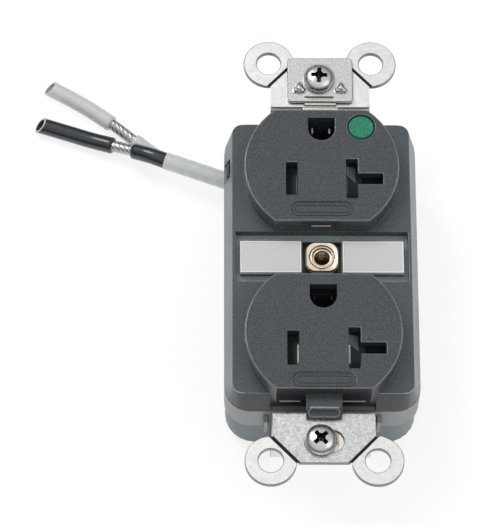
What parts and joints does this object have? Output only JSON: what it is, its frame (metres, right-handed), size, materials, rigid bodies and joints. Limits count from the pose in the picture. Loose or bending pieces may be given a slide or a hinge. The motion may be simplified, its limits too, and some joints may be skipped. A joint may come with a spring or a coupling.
{
  "type": "duplex receptacle",
  "caption": "Grounded duplex power outlet on a wrap-round metal strap with break-off ears, shuttered blade slots and stripped pigtail leads.",
  "frame": {"origin": "on the plane that the strap's back rests on, under the middle of the device between its two outlets, without its leads", "axes": "+Z is the way the outlet faces look, +Y points to the end where the ground holes are, +X is towards the T-shaped slots"},
  "size_m": [0.0825, 0.1056, 0.0312],
  "materials": {
    "cover_grey": "dark grey moulded nylon, slightly satin",
    "housing_grey": "light grey moulded plastic",
    "body_grey": "blue-grey moulded plastic",
    "zinc_steel": "bright zinc-plated steel",
    "brass": "plain brass",
    "copper": "tinned copper strands",
    "spring_steel": "spring wire",
    "label_white": "blank label",
    "frame_white": "glossy white plastic",
    "dot_green": "glossy green plastic",
    "shutter_grey": "grey moulded plastic",
    "tray_black": "black moulded plastic",
    "lead_black": "satin black insulation",
    "lead_white": "satin white insulation"
  },
  "bodies": {
    "device": {"front_cover": "cover_grey", "grade_dot": "dot_green", "label_holder_left": "frame_white", "label_holder_right": "frame_white", "label_card_left": "label_white", "label_card_right": "label_white", "centre_bushing": "brass", "middle_housing": "housing_grey", "back_body": "body_grey", "assembly_screw_1": "zinc_steel", "assembly_screw_2": "zinc_steel", "assembly_screw_3": "zinc_steel", "assembly_screw_4": "zinc_steel", "mounting_strap": "zinc_steel", "ground_clip": "zinc_steel", "shutter_tray_upper": "tray_black", "shutter_tray_lower": "tray_black", "shutter_spring_upper": "spring_steel", "shutter_spring_lower": "spring_steel", "hot_bus": "brass", "neutral_bus": "brass", "ground_bus": "brass", "strap_rivet_upper": "zinc_steel", "strap_rivet_lower": "zinc_steel", "lead_terminal_black": "brass", "lead_terminal_white": "brass", "lead_sleeve": "lead_white", "lead_black": "lead_black", "lead_black_strands": "copper", "lead_black_slug": "lead_black", "lead_white": "lead_white", "lead_white_strands": "copper", "lead_white_slug": "lead_white"},
    "screw_retainer_top": {"screw_retainer_top": "brass"},
    "mounting_screw_top": {"mounting_screw_top": "zinc_steel"},
    "screw_retainer_bottom": {"screw_retainer_bottom": "brass"},
    "mounting_screw_bottom": {"mounting_screw_bottom": "zinc_steel"},
    "shutter_hot_upper": {"shutter_hot_upper": "shutter_grey"},
    "shutter_neutral_upper": {"shutter_neutral_upper": "shutter_grey"},
    "shutter_hot_lower": {"shutter_hot_lower": "shutter_grey"},
    "shutter_neutral_lower": {"shutter_neutral_lower": "shutter_grey"}
  },
  "joints": [
    {"name": "top_screw_lift", "type": "slide", "parent": "device", "child": "screw_retainer_top", "axis": [0, 0, 1], "range_m": [0, 0.002]},
    {"name": "top_screw_turn", "type": "hinge", "parent": "screw_retainer_top", "child": "mounting_screw_top", "pos_m": [-0.00025, 0.04167, 0.0283], "axis": [0, 0, 1], "continuous": true},
    {"name": "bottom_screw_lift", "type": "slide", "parent": "device", "child": "screw_retainer_bottom", "axis": [0, 0, 1], "range_m": [0, 0.002]},
    {"name": "bottom_screw_turn", "type": "hinge", "parent": "screw_retainer_bottom", "child": "mounting_screw_bottom", "pos_m": [-0.0007, -0.04167, 0.0275], "axis": [0, 0, 1], "continuous": true},
    {"name": "upper_hot_shutter_slide", "type": "slide", "parent": "device", "child": "shutter_hot_upper", "axis": [1, 0, 0], "range_m": [0, 0.0038], "stiffness_N_per_m": 20, "springref_m": -0.002, "deforming": ["shutter_spring_upper"]},
    {"name": "upper_neutral_shutter_slide", "type": "slide", "parent": "device", "child": "shutter_neutral_upper", "axis": [-1, 0, 0], "range_m": [0, 0.0038]},
    {"name": "lower_hot_shutter_slide", "type": "slide", "parent": "device", "child": "shutter_hot_lower", "axis": [1, 0, 0], "range_m": [0, 0.0038], "stiffness_N_per_m": 20, "springref_m": -0.002, "deforming": ["shutter_spring_lower"]},
    {"name": "lower_neutral_shutter_slide", "type": "slide", "parent": "device", "child": "shutter_neutral_lower", "axis": [-1, 0, 0], "range_m": [0, 0.0038]}
  ],
  "couplings": [
    {"joint": "upper_neutral_shutter_slide", "follows": "upper_hot_shutter_slide", "ratio": 1},
    {"joint": "lower_neutral_shutter_slide", "follows": "lower_hot_shutter_slide", "ratio": 1}
  ]
}
